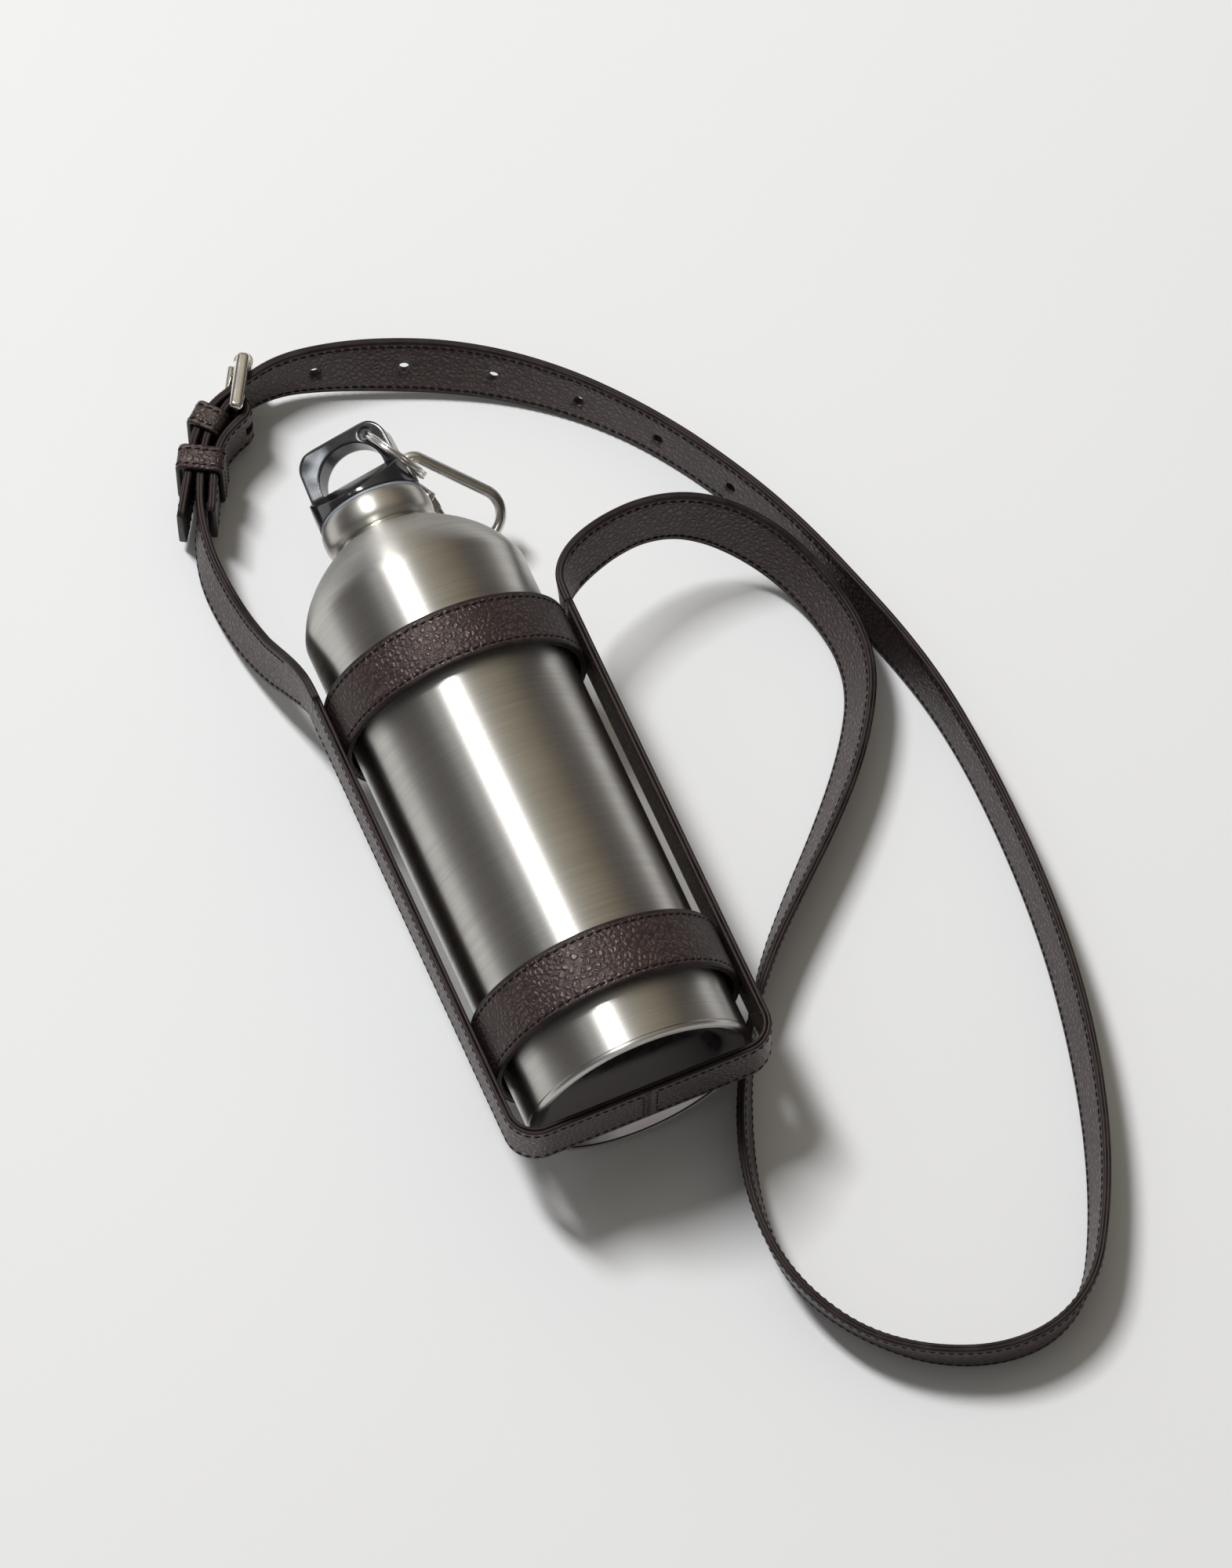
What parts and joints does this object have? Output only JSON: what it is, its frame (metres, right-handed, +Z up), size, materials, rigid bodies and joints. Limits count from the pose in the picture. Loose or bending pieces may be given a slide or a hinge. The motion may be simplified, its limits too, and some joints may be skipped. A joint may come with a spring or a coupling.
{
  "type": "water bottle",
  "caption": "Steel water bottle with a screw cap, split ring and carabiner, lying in a leather sling with a buckled shoulder strap.",
  "frame": {"origin": "on the surface under the middle of the bottle and its holder, the free strap left out", "axes": "+Y along the bottle's axis from foot to cap, +Z up from the surface it lies on, +X to the side that the carabiner hangs on"},
  "size_m": [0.1993, 0.3995, 0.0806],
  "materials": {
    "steel": "brushed round the bottle",
    "steel_satin": "satin",
    "black_plastic": "gloss",
    "seal_rubber": "matte",
    "polished_steel": "polished",
    "leather": "pebbled",
    "chrome": "polished nickel"
  },
  "bodies": {
    "holder": {"upper_band": "leather", "lower_band": "leather", "base_strap_lining": "leather", "base_strap_left": "leather", "base_strap_right": "leather", "shoulder_strap_long": "leather", "shoulder_strap_short": "leather", "fold_back": "leather", "fixed_keeper": "leather"},
    "bottle": {"bottle_body": "steel", "base_disc": "steel", "neck_collar": "steel_satin"},
    "seal": {"cap_gasket": "seal_rubber"},
    "cap": {"cap": "black_plastic"},
    "ring": {"split_ring": "polished_steel"},
    "carabiner": {"carabiner_body": "polished_steel", "gate_rivet": "polished_steel"},
    "gate": {"carabiner_gate": "polished_steel"},
    "buckle": {"buckle_frame": "chrome"},
    "roller": {"buckle_roller": "chrome"},
    "prong": {"buckle_prong": "chrome"},
    "keeper": {"sliding_keeper": "leather"}
  },
  "joints": [
    {"name": "bottle_slide", "type": "slide", "parent": "holder", "child": "bottle", "axis": [0, 1, 0], "range_m": [-0.003, 0.05]},
    {"name": "cap_rise", "type": "slide", "parent": "bottle", "child": "seal", "axis": [0, 1, 0], "range_m": [0, 0.0091]},
    {"name": "cap_turn", "type": "hinge", "parent": "seal", "child": "cap", "pos_m": [0, 0.09485, 0.0392], "axis": [0, 1, 0], "range_deg": [0, 720]},
    {"name": "ring_swing", "type": "hinge", "parent": "cap", "child": "ring", "pos_m": [0.00846, 0.11705, 0.04228], "axis": [-0.342, 0, 0.9397], "range_deg": [0, 50]},
    {"name": "carabiner_swing", "type": "hinge", "parent": "ring", "child": "carabiner", "pos_m": [0.01793, 0.10548, 0.03424], "axis": [0.3678, -0.8667, 0.3369], "range_deg": [-10, 15]},
    {"name": "gate_open", "type": "hinge", "parent": "carabiner", "child": "gate", "pos_m": [0.01992, 0.09824, 0.02773], "axis": [0.0017, -0.6678, 0.7443], "range_deg": [0, 25], "stiffness_Nm_per_rad": 0.02, "springref_deg": -11.46},
    {"name": "buckle_tilt", "type": "hinge", "parent": "holder", "child": "buckle", "pos_m": [-0.0223, 0.15165, 0.014], "axis": [0, 0, 1], "range_deg": [-2.5, 2.5]},
    {"name": "roller_spin", "type": "hinge", "parent": "buckle", "child": "roller", "pos_m": [-0.01409, 0.16585, 0.014], "axis": [0, 0, 1], "continuous": true},
    {"name": "prong_lift", "type": "hinge", "parent": "buckle", "child": "prong", "pos_m": [-0.0223, 0.15165, 0.014], "axis": [0, 0, 1], "range_deg": [0, 3]},
    {"name": "keeper_slide", "type": "slide", "parent": "holder", "child": "keeper", "axis": [-0.454, -0.891, 0], "range_m": [0, 0.0035]}
  ],
  "couplings": [
    {"joint": "cap_rise", "follows": "cap_turn", "m_per_rad": 0.0007162}
  ]
}
